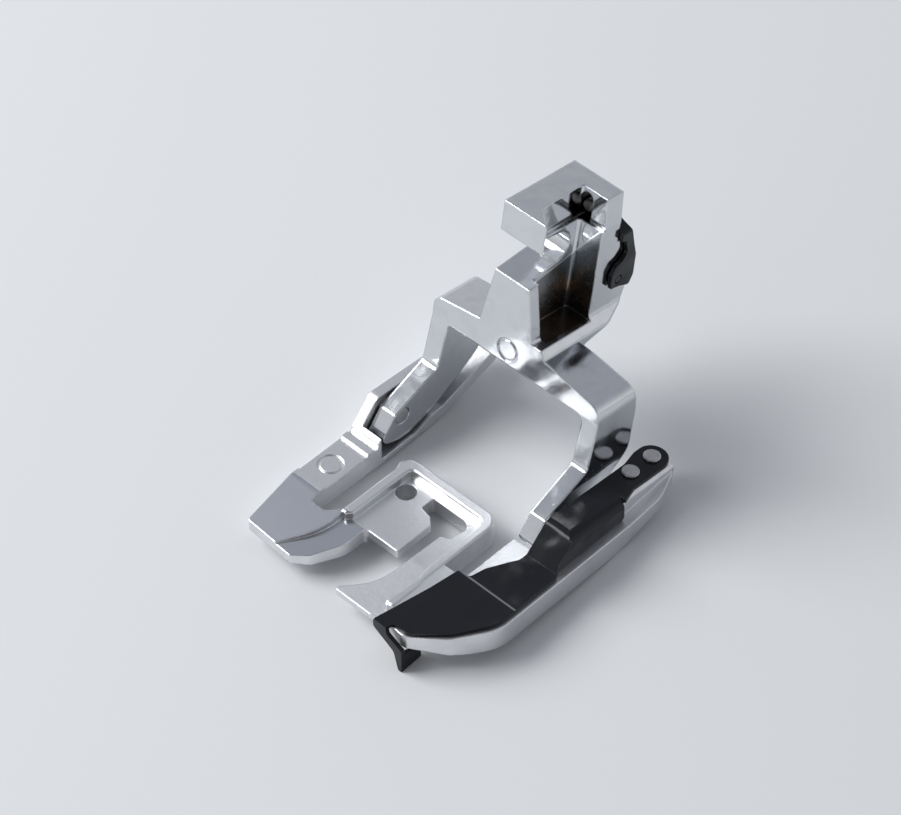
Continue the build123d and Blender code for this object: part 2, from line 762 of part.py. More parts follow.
# Release lever, a formed channel that straddles the stem
lever_left = stem_left - stem_flare - lever_gap - lever_cheek
lever_right = stem_right + 0.2 + lever_gap + lever_cheek
with BuildPart() as lever:
    with BuildSketch(yoke_side(lever_left)) as profile:
        outline(
            profile,
            (block_back + lever_gap, lever_top + lever_head, 0.3),
            (block_back + lever_gap, lever_top - 2.9, 0.2),
            (block_back + 0.8, lever_top - 3.1, 0.3),
            (block_back + 1.4, lever_top - 5.0, 0.8),
            (block_back + 0.6, lever_top - 5.9, 0.8),
            (lever_pin_y - 0.7, lever_pin_z + 2.0, 0.5),
            (lever_pin_y - 1.2, lever_pin_z + 0.9, 0.5),
            (lever_pin_y - 1.1, lever_pin_z - 0.9, 0.15),
            (lever_pin_y + 0.3, lever_pin_z - 1.1, 0.3),
            (block_back + 2.4, lever_pin_z - 1.7, 0.4),
            (block_back + 2.95, lever_pin_z - 0.5, 0.6),
            (block_back + 2.9, lever_pin_z + 2.3, 1.5),
            (block_back + 2.3, lever_top - 4.2, 1.5),
            (block_back + 1.4, lever_top - 1.3, 0.8),
            (block_back + 1.1, lever_top + lever_head, 0.3),
        )
    extrude(amount=lever_right - lever_left)
    with BuildSketch(yoke_front(lever_pin_y - 3.0)) as face:
        outline(
            face,
            (lever_left, lever_pin_z - 3.0, 0),
            (lever_left, lever_top - 1.9, 0.4),
            (head_left, lever_top - 0.7, 0.8),
            (head_left, lever_top + lever_head, 0.4),
            (head_right, lever_top + lever_head, 0.4),
            (head_right, lever_top - 0.7, 0.8),
            (lever_right, lever_top - 1.9, 0.4),
            (lever_right, lever_pin_z - 3.0, 0),
        )
    extrude(amount=-8.0, mode=Mode.INTERSECT)
    # The space that the stem fills
    with BuildSketch(yoke_side(lever_left + lever_cheek)) as hollow:
        outline(
            hollow,
            (lever_pin_y - lever_foot, lever_pin_z - lever_foot, 0),
            (lever_pin_y - lever_foot, lever_top - 3.1, 0),
            (block_back + 1.1, lever_top - 3.1, 0.2),
            (block_back + stem_step + 0.4, lever_top - lever_step, 0.8),
            (block_back + stem_step + 0.4, lever_pin_z - lever_foot, 0),
        )
    extrude(amount=lever_right - lever_left - 2 * lever_cheek, mode=Mode.SUBTRACT)
    with BuildSketch(yoke_side(lever_left - 0.5)):
        with Locations((lever_pin_y, lever_pin_z)):
            Circle(lever_pin_radius + pin_clearance)
    extrude(amount=lever_right - lever_left + 1.0, mode=Mode.SUBTRACT)
    with BuildSketch(yoke_front(lock_front)):
        with Locations((window_x, lock_z)):
            Circle(lock_radius)
    extrude(amount=-5.0, mode=Mode.SUBTRACT)
lever.part.label = "release_lever"


# Cross pin of the lever, pressed in the stem
with BuildPart() as lever_pin:
    with BuildSketch(yoke_side(lever_left)):
        with Locations((lever_pin_y, lever_pin_z)):
            Circle(lever_pin_radius)
    extrude(amount=lever_right - lever_left)
    chamfer(lever_pin.edges().filter_by(GeomType.CIRCLE), 0.15)
lever_pin.part.label = "lever_pin"


# Lock pin, pressed in the lever
with BuildPart() as lock_pin:
    with BuildSketch(yoke_front(lock_front)):
        with Locations((window_x, lock_z)):
            Circle(lock_radius)
    extrude(amount=lock_front - block_back - 1.2)
    front_end = lock_pin.edges().filter_by(GeomType.CIRCLE).sort_by(Axis.Y)[0]
    fillet(front_end, 0.35)
lock_pin.part.label = "lock_pin"


os.makedirs("parts", exist_ok=True)
pieces = [
    sole.part,
    plate.part,
    rivet_front,
    rivet_rear,
    pivot_pin_left,
    pivot_pin_right,
    yoke.part,
    lever.part,
    lever_pin.part,
    lock_pin.part,
]
for piece in pieces:
    export_step(piece, f"parts/{piece.label}.step")
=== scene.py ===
"""Studio scene of a presser foot: open sole, leaning plated yoke, black guide plate, black lever."""
import logging
import math
from dataclasses import dataclass, field
from enum import Enum
from typing import Any

import bpy
from mathutils import Matrix, Vector


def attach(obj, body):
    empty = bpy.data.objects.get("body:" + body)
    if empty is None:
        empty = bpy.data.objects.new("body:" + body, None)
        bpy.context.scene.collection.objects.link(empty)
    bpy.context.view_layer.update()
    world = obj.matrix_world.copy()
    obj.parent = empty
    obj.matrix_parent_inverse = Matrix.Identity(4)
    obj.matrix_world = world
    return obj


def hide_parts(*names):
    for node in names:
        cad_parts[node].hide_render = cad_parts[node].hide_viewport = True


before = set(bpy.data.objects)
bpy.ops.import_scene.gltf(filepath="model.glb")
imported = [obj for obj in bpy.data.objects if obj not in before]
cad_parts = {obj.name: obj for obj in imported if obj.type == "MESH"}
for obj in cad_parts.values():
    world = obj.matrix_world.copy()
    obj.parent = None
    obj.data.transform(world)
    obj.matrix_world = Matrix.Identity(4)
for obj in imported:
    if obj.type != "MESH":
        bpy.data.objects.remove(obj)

LOG = logging.getLogger("presser_foot")
MM = 0.001

Colour = tuple[float, float, float]
Point = tuple[float, float, float]


class Body(Enum):
    """The parts of the foot that move against each other."""

    SOLE = "sole_body"
    YOKE = "yoke_body"
    LEVER = "lever_body"


class Slot(Enum):
    """The record's material slots."""

    CAST = "cast_satin"
    CHROME = "chrome"
    BLACK = "black_steel"
    RIVET = "rivet_steel"
    DARK = "dark_steel"


def srgb(red: int, green: int, blue: int) -> Colour:
    """Turn a screen colour into the linear one that a shader takes.

    Args:
        red: Red from 0 to 255.
        green: Green from 0 to 255.
        blue: Blue from 0 to 255.

    Returns:
        The linear colour.
    """
    def linear(level: int) -> float:
        """Undo the screen's curve for one channel."""
        share = level / 255
        return share / 12.92 if share <= 0.04045 else ((share + 0.055) / 1.055) ** 2.4

    return linear(red), linear(green), linear(blue)


def scaled(colour: Colour, factor: float) -> Colour:
    """Make a colour darker or brighter, at most white in any channel."""
    return tuple(min(1.0, channel * factor) for channel in colour)


class Wire:
    """One output of a shader node. Sums on it add Math nodes."""

    def __init__(self, graph: "Graph", socket: bpy.types.NodeSocket) -> None:
        """Keep the graph and the socket."""
        self.graph = graph
        self.socket = socket

    def _maths(self, operation: str, first: Any, second: Any) -> "Wire":
        """Add one Math node.

        Args:
            operation: The node's operation.
            first: Its first value, a wire or a number.
            second: Its second value, a wire or a number.

        Returns:
            The node's output.
        """
        return self.graph.add("ShaderNodeMath", {"operation": operation}, {0: first, 1: second})

    def __add__(self, other: Any) -> "Wire":
        """Sum."""
        return self._maths("ADD", self, other)

    def __radd__(self, other: Any) -> "Wire":
        """Sum with the number first."""
        return self._maths("ADD", other, self)

    def __sub__(self, other: Any) -> "Wire":
        """Difference."""
        return self._maths("SUBTRACT", self, other)

    def __rsub__(self, other: Any) -> "Wire":
        """Difference with the number first."""
        return self._maths("SUBTRACT", other, self)

    def __mul__(self, other: Any) -> "Wire":
        """Product."""
        return self._maths("MULTIPLY", self, other)

    def __rmul__(self, other: Any) -> "Wire":
        """Product with the number first."""
        return self._maths("MULTIPLY", other, self)


class Graph:
    """The node tree of one material or of the world."""

    def __init__(self, tree: bpy.types.NodeTree) -> None:
        """Empty the tree and keep it."""
        self.tree = tree
        self.tree.nodes.clear()

    def add(
        self, kind: str, settings: dict[str, Any], values: dict[Any, Any], output: int | str = 0
    ) -> Wire:
        """Add one node.

        Args:
            kind: The node's type.
            settings: What is set on the node first.
            values: What goes into its sockets by name or number, wires or plain values.
            output: The output that is wanted.

        Returns:
            That output.
        """
        node = self.tree.nodes.new(kind)
        for name, value in settings.items():
            setattr(node, name, value)
        for name, value in values.items():
            if isinstance(value, Wire):
                self.tree.links.new(value.socket, node.inputs[name])
            else:
                node.inputs[name].default_value = value
        return Wire(self, node.outputs[output]) if node.outputs else Wire(self, None)

    def place(self) -> Wire:
        """The point on the piece, in millimetres of the row frame."""
        point = self.add("ShaderNodeTexCoord", {}, {}, "Object")
        return self.add("ShaderNodeMapping", {}, {"Vector": point, "Scale": (1 / MM,) * 3})

    def noise(self, point: Wire, scale: float, detail: float = 3.0, rough: float = 0.5) -> Wire:
        """Soft noise from 0 to 1.

        Args:
            point: Where it is read.
            scale: Waves to the millimetre.
            detail: How many finer layers it has.
            rough: How strong they are.

        Returns:
            The noise.
        """
        return self.add(
            "ShaderNodeTexNoise",
            {"noise_dimensions": "3D"},
            {"Vector": point, "Scale": scale, "Detail": detail, "Roughness": rough},
            "Fac",
        )

    def step(self, value: Wire, low: float, high: float, start: float = 0.0, end: float = 1.0) -> Wire:
        """Smooth step of a value.

        Args:
            value: The value.
            low: Where the step begins.
            high: Where it ends.
            start: The result below it.
            end: The result above it.

        Returns:
            The stepped value.
        """
        return self.add(
            "ShaderNodeMapRange",
            {"interpolation_type": "SMOOTHSTEP"},
            {"Value": value, "From Min": low, "From Max": high, "To Min": start, "To Max": end},
        )

    def band(self, value: Wire, rise: tuple[float, float], fall: tuple[float, float]) -> Wire:
        """A mask that is 1 between two soft steps.

        Args:
            value: The value.
            rise: Where the first step begins and ends.
            fall: Where the second one begins and ends.

        Returns:
            The mask.
        """
        return self.step(value, *rise) * self.step(value, *fall, 1.0, 0.0)

    def dot(self, first: Any, second: Any) -> Wire:
        """Dot product of two vectors."""
        values = {0: first, 1: second}
        return self.add("ShaderNodeVectorMath", {"operation": "DOT_PRODUCT"}, values, "Value")

    def from_point(self, point: Wire, origin: Point) -> Wire:
        """The way from a fixed origin to the point."""
        return self.add("ShaderNodeVectorMath", {"operation": "SUBTRACT"}, {0: point, 1: origin})

    def blend(self, mask: Wire, first: Any, second: Any) -> Wire:
        """Mix two colours.

        Args:
            mask: 0 for the first, 1 for the second.
            first: A colour or a wire.
            second: A colour or a wire.

        Returns:
            The mixed colour.
        """
        colours = {6: first, 7: second}
        values = {at: c if isinstance(c, Wire) else (*c, 1.0) for at, c in colours.items()}
        return self.add("ShaderNodeMix", {"data_type": "RGBA"}, {0: mask, **values}, 2)

    def axes(self, point: Wire) -> tuple[Wire, Wire, Wire]:
        """Split a point into its three numbers."""
        first = self.add("ShaderNodeSeparateXYZ", {}, {"Vector": point})
        outputs = first.socket.node.outputs
        return first, Wire(self, outputs[1]), Wire(self, outputs[2])

    def topside(self) -> Wire:
        """A mask of the faces that look up."""
        _, _, upward = self.axes(self.add("ShaderNodeTexCoord", {}, {}, "Normal"))
        return self.step(upward, 0.6, 0.8)

    def edge(self, radius: float) -> tuple[Wire, Wire]:
        """The eased edges of a part.

        Args:
            radius: How far the easing reaches, in millimetres.

        Returns:
            The eased normal, and a mask that is 1 on the edge.
        """
        eased = self.add("ShaderNodeBevel", {"samples": 6}, {"Radius": radius * MM})
        plain = self.add("ShaderNodeNewGeometry", {}, {}, "Normal")
        return eased, self.step(1.0 - self.dot(eased, plain), 0.01, 0.16)


@dataclass(frozen=True)
class Finish:
    """One surface finish, the ground that every finish of the foot shares."""

    name: str
    slot: Slot
    colour: Colour
    edge_radius: float = 0.2

    def material(self) -> bpy.types.Material:
        """Build the finish.

        Returns:
            The material.
        """
        made = bpy.data.materials.new(self.name)
        made.use_nodes = True
        graph = Graph(made.node_tree)
        sockets = self.shade(graph)
        shader = graph.add("ShaderNodeBsdfPrincipled", {}, sockets)
        graph.add("ShaderNodeOutputMaterial", {}, {"Surface": shader})
        return made

    def shade(self, graph: Graph) -> dict[str, Any]:
        """The shader's sockets.

        Args:
            graph: The graph that the nodes go in.

        Returns:
            A value or wire for each socket that isn't left as it is.
        """
        raise NotImplementedError

    def relief(self, graph: Graph, height: Wire, eased: Wire) -> Wire:
        """Turn a height in millimetres into the surface's normal.

        Args:
            graph: The graph.
            height: The height.
            eased: The normal that the relief lies on.

        Returns:
            The normal.
        """
        values = {"Strength": 1.0, "Distance": MM, "Height": height, "Normal": eased}
        return graph.add("ShaderNodeBump", {}, values)


@dataclass(frozen=True)
class PlatedChrome(Finish):
    """Bright plating over a casting that was only lightly polished.

    The bottom of the bar channel is painted darker than the chrome below a slanting plane, as
    painted shade with brown patches, and a bright painted highlight runs along that plane. The
    plane is kept as a point on it and its upward normal in the row frame. The channel is kept
    as its low and high corner in the yoke's own leaning frame, whose zero is the pivot.
    """

    ripple: float = 0.06
    orange_peel: float = 0.0024
    gloss: float = 0.09
    pit_depth: float = 0.01
    pit_colour: Colour = (0.25, 0.24, 0.23)
    shade_limit_point: Point = (-2.5, 16.85, 24.44)
    shade_limit_normal: Point = (-0.828, -0.021, 0.561)
    pivot: Point = (0.0, 6.1, 4.5)
    lean: float = 8.46
    channel_low: Point = (-2.6, 6.98, 14.9)
    channel_high: Point = (0.62, 13.7, 27.0)
    # The painted highlight along the slanting plane, then the painted shade's grey, its brown patches
    # and its darkest part.
    painted_highlight_colour: Colour = (0.95, 0.96, 0.98)
    painted_shade_grey: Colour = (0.30, 0.32, 0.34)
    brown_patch_colour: Colour = (0.42, 0.29, 0.17)
    painted_shade_deep: Colour = (0.09, 0.08, 0.075)
    # Levels in the channel over which the brown patches and the darker painted shade fade out.
    brown_fade: tuple[float, float] = (18.0, 20.5)
    dark_fade: tuple[float, float] = (15.2, 18.0)

    def wear_and_painted_shade(self, graph: Graph, point: Wire) -> tuple[Wire, Wire, Wire]:
        """The painted shade at the bottom of the channel.

        Args:
            graph: The graph.
            point: The point on the piece.

        Returns:
            A mask of the painted shade, one of the painted highlight line at its top, and the level in
            the channel.
        """
        tip = math.radians(self.lean)
        own_axes = ((1, 0, 0), (0, math.cos(tip), -math.sin(tip)), (0, math.sin(tip), math.cos(tip)))
        arm = graph.from_point(point, self.pivot)
        inside: Any = 1.0
        along: Any = 0.0
        for axis, low, high in zip(own_axes, self.channel_low, self.channel_high):
            along = graph.dot(arm, axis)
            inside = inside * graph.band(along, (low - 0.02, low + 0.02), (high, high + 0.05))
        height = graph.dot(graph.from_point(point, self.shade_limit_point), self.shade_limit_normal)
        line = graph.band(height, (-0.12, -0.04), (0.04, 0.12))
        return inside * graph.step(height, -0.08, 0.0, 1.0, 0.0), inside * line, along

    def shade(self, graph: Graph) -> dict[str, Any]:
        """Long ripples, a fine peel, small pits, a haze of handling, and painted shade with a painted
        highlight in the channel.
        """
        point = graph.place()
        eased, edge = graph.edge(self.edge_radius)
        waves = graph.noise(point, 0.32, 1.0, 0.4)
        peel = graph.noise(point, 2.6, 2.0, 0.5)
        cells = {"Vector": point, "Scale": 0.9}
        pit = graph.add("ShaderNodeTexVoronoi", {"feature": "F1"}, cells, "Distance")
        pit = graph.step(pit, 0.03, 0.07, 1.0, 0.0)
        haze = graph.step(graph.noise(point, 0.55, 4.0, 0.6), 0.42, 0.72)
        rubs = graph.step(graph.noise(point, 7.0, 3.0, 0.6), 0.5, 0.8)
        # Painted shade at the channel's bottom, with a painted highlight along its top line.
        bottom, line, level = self.wear_and_painted_shade(graph, point)
        brown_patches = graph.step(graph.noise(point, 0.42, 4.0, 0.65), 0.38, 0.62)
        height = waves * self.ripple + peel * self.orange_peel - pit * self.pit_depth
        plated = graph.blend(haze * 0.5, self.colour, scaled(self.colour, 0.88))
        browned = brown_patches * graph.step(level, *self.brown_fade, 1.0, 0.0)
        # Painted shade: grey, with brown patches higher up, darker towards the channel's bottom.
        painted_channel_shade = graph.blend(browned, self.painted_shade_grey, self.brown_patch_colour)
        painted_channel_shade = graph.blend(graph.step(level, *self.dark_fade, 0.8, 0.0), painted_channel_shade, self.painted_shade_deep)
        tone = graph.blend(bottom * 0.92, plated, painted_channel_shade)
        # Painted highlight along the top of the painted shade.
        tone = graph.blend(line * 0.9, tone, self.painted_highlight_colour)
        rough = self.gloss + haze * 0.06 + rubs * 0.05 + pit * 0.3
        return {
            "Base Color": graph.blend(pit * 0.6, tone, self.pit_colour),
            "Metallic": 1.0,
            "Roughness": rough + edge * 0.04 + bottom * 0.14 + line * 0.25,
            "Normal": self.relief(graph, height, eased),
        }


@dataclass(frozen=True)
class BlastedCasting(Finish):
    """Bead-blasted casting: a fine dense grain, rubbed edges and a smoother top on the left toe, with a
    painted reflection there: darker and bluer.
    """

    rough: float = 0.34
    grain: float = 0.014
    toe_back: float = -7.3
    toe_right: float = -4.9
    # Painted reflection: the toe top's darker, bluer colour.
    painted_toe_reflection: Colour = (0.60, 0.62, 0.66)

    def shade(self, graph: Graph) -> dict[str, Any]:
        """Grain, soft blotches of tone, bright rubbed edges, and the toe's painted reflection."""
        point = graph.place()
        eased, edge = graph.edge(self.edge_radius)
        grain = graph.noise(point, 9.0, 3.0, 0.6)
        coarse = graph.noise(point, 2.2, 3.0, 0.55)
        blotch = graph.step(graph.noise(point, 0.35, 3.0, 0.5), 0.35, 0.7)
        rubbed = edge * graph.step(coarse, 0.25, 0.6)
        across, along, _ = graph.axes(point)
        toe = graph.step(along, self.toe_back, self.toe_back + 0.1, 1.0, 0.0)
        toe = toe * graph.step(across, self.toe_right, self.toe_right + 0.3, 1.0, 0.0)
        toe = toe * graph.topside()
        height = (grain + coarse * 1.4) * self.grain * (1.0 - toe * 0.85)
        tone = graph.blend(blotch * 0.5, self.colour, scaled(self.colour, 0.86))
        # Painted reflection: upward toe faces take a darker, bluer colour for the dim room they mirror.
        tone = graph.blend(toe, tone, self.painted_toe_reflection)
        rough = self.rough + blotch * 0.05 * (1.0 - toe) + (grain - 0.5) * 0.16
        return {
            "Base Color": graph.blend(rubbed * 0.8, tone, scaled(self.colour, 1.18)),
            "Metallic": 1.0,
            "Roughness": rough - rubbed * 0.1 - toe * 0.1,
            "Normal": self.relief(graph, height, eased),
        }


@dataclass(frozen=True)
class BlackFinish(Finish):
    """Black coat on formed steel: glossy, streaked and worn, with a joint line across the strip."""

    gloss: float = 0.13
    coat: float = 0.05
    steel: Colour = (0.20, 0.20, 0.21)
    joint_front: float = -5.44
    joint_back: float = -5.26
    joint_fade: float = 0.05

    def shade(self, graph: Graph) -> dict[str, Any]:
        """Rolled streaks along the strip, dust-fine mottling, steel worn through on the edges."""
        point = graph.place()
        eased, edge = graph.edge(self.edge_radius)
        drawn = graph.add("ShaderNodeMapping", {}, {"Vector": point, "Scale": (3.0, 0.35, 3.0)})
        streak = graph.noise(drawn, 1.6, 3.0, 0.6)
        mottle = graph.noise(point, 5.0, 3.0, 0.6)
        waves = graph.noise(point, 0.25, 1.0, 0.4)
        # Here the mask is only the worn edges where bare steel shows.
        wear_and_painted_shade = edge * graph.step(mottle, 0.35, 0.75)
        _, along, _ = graph.axes(point)
        front, back, fade = self.joint_front, self.joint_back, self.joint_fade
        joint = graph.band(along, (front - fade, front), (back, back + fade)) * graph.topside()
        height = waves * 0.25 + joint * 0.05 + streak * 0.0015 + mottle * 0.001
        return {
            "Base Color": graph.blend(wear_and_painted_shade * 0.5 + joint * 0.8, self.colour, self.steel),
            "Metallic": wear_and_painted_shade * 0.7,
            "Roughness": self.gloss + graph.step(streak, 0.4, 0.8) * 0.1 + (mottle - 0.5) * 0.05,
            "Coat Weight": self.coat - wear_and_painted_shade * self.coat,
            "Coat Roughness": 0.08,
            "Specular IOR Level": 0.24,
            "Normal": self.relief(graph, height, eased),
        }


@dataclass(frozen=True)
class TurnedSteel(Finish):
    """Bare turned or headed steel with rings left by the tool."""

    rough: float = 0.3
    ring_scale: float = 1.9904

    def shade(self, graph: Graph) -> dict[str, Any]:
        """Tool rings and small dents."""
        point = graph.place()
        eased, edge = graph.edge(self.edge_radius)
        dents = graph.noise(point, 3.2, 3.0, 0.6)
        grain = graph.noise(point, 14.0, 2.0, 0.5)
        rings = graph.add(
            "ShaderNodeTexWave",
            {"wave_type": "RINGS", "rings_direction": "SPHERICAL"},
            {"Vector": point, "Scale": self.ring_scale, "Distortion": 1.2},
            "Fac",
        )
        dulled = graph.step(dents, 0.35, 0.7) * 0.7
        tone = graph.blend(dulled, self.colour, scaled(self.colour, 0.72))
        return {
            "Base Color": graph.blend(edge * 0.4, tone, scaled(self.colour, 1.25)),
            "Metallic": 1.0,
            "Roughness": self.rough + (grain - 0.5) * 0.16 - edge * 0.05,
            "Normal": self.relief(graph, dents * 0.03 + rings * 0.002 + grain * 0.003, eased),
        }


@dataclass
class Finishes:
    """Every finish of the foot, built once."""

    chrome: PlatedChrome = PlatedChrome("yoke_chrome", Slot.CHROME, (0.70, 0.715, 0.74), 0.3)
    cast: BlastedCasting = BlastedCasting("sole_cast", Slot.CAST, (0.82, 0.825, 0.84), 0.22)
    black: BlackFinish = BlackFinish("black_strip", Slot.BLACK, (0.010, 0.011, 0.014), 0.09)
    rivet: TurnedSteel = TurnedSteel("rivet_steel", Slot.RIVET, (0.52, 0.52, 0.53), 0.08)
    dark: TurnedSteel = TurnedSteel("pin_steel", Slot.DARK, (0.16, 0.155, 0.15), 0.08)
    made: dict[str, bpy.types.Material] = field(default_factory=dict)

    def get(self, finish: Finish) -> bpy.types.Material:
        """The finish's material, built when it is first asked for."""
        if finish.name not in self.made:
            self.made[finish.name] = finish.material()
            LOG.info("finish %s", finish.name)
        return self.made[finish.name]


@dataclass
class CadPieces:
    """CAD nodes that keep their solids and take a finish."""

    finishes: Finishes
    nodes: dict[str, Finish]

    def dress(self) -> None:
        """Give each node its finish."""
        for name, finish in self.nodes.items():
            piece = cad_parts[name]
            piece.data.materials.clear()
            piece.data.materials.append(self.finishes.get(finish))
            LOG.info("dressed %s in %s", name, finish.slot.value)


class NodeSketch:
    """A Geometry Nodes tree that is built step by step."""

    def __init__(self, name: str) -> None:
        """Start an empty tree with a geometry output."""
        self.tree = bpy.data.node_groups.new(name, "GeometryNodeTree")
        for way in ("INPUT", "OUTPUT"):
            self.tree.interface.new_socket("Geometry", in_out=way, socket_type="NodeSocketGeometry")
        self.entry: bpy.types.Node | None = None
        self.inputs: dict[str, str] = {}

    def size(self, name: str, kind: str, value: Any) -> None:
        """Add a named input.

        Args:
            name: The input's name.
            kind: Its socket type.
            value: Its usual value.
        """
        item = self.tree.interface.new_socket(name, in_out="INPUT", socket_type=kind)
        item.default_value = value
        self.inputs[name] = item.identifier

    def named(self, name: str) -> bpy.types.NodeSocket:
        """The wire of a named input."""
        if self.entry is None:
            self.entry = self.tree.nodes.new("NodeGroupInput")
        return self.entry.outputs[name]

    def add(
        self, kind: str, settings: dict[str, Any], values: dict[Any, Any], output: int | str = 0
    ) -> Any:
        """Add one node.

        Args:
            kind: The node's type.
            settings: What is set on the node first.
            values: Plain values or output sockets for its inputs.
            output: The output that is wanted.

        Returns:
            That output socket.
        """
        node = self.tree.nodes.new(kind)
        for name, value in settings.items():
            setattr(node, name, value)
        for name, value in values.items():
            if isinstance(value, bpy.types.NodeSocket):
                self.tree.links.new(value, node.inputs[name])
            else:
                node.inputs[name].default_value = value
        return node.outputs[output] if node.outputs else None

    def close(self, geometry: bpy.types.NodeSocket, material: bpy.types.Material) -> None:
        """Realize the instances, set the material and end the tree.

        Args:
            geometry: The finished geometry.
            material: The material that it takes.
        """
        real = self.add("GeometryNodeRealizeInstances", {}, {"Geometry": geometry})
        dressed = self.add("GeometryNodeSetMaterial", {}, {"Geometry": real, "Material": material})
        self.add("NodeGroupOutput", {}, {"Geometry": dressed})

    def mesh(self, name: str, sizes: dict[str, Any]) -> bpy.types.Object:
        """Run the tree and keep its result as a plain mesh.

        Args:
            name: The new piece's name.
            sizes: A value for each named input that differs from its usual one.

        Returns:
            The piece, at the origin.
        """
        carrier = bpy.data.objects.new(name + "_carrier", bpy.data.meshes.new(name + "_carrier"))
        bpy.context.scene.collection.objects.link(carrier)
        modifier = carrier.modifiers.new("nodes", "NODES")
        modifier.node_group = self.tree
        for label, value in sizes.items():
            modifier[self.inputs[label]] = value
        bpy.context.view_layer.update()
        evaluated = carrier.evaluated_get(bpy.context.evaluated_depsgraph_get())
        result = bpy.data.meshes.new_from_object(evaluated)
        carrier.modifiers.remove(modifier)
        bpy.data.objects.remove(carrier)
        piece = bpy.data.objects.new(name, result)
        bpy.context.scene.collection.objects.link(piece)
        return piece


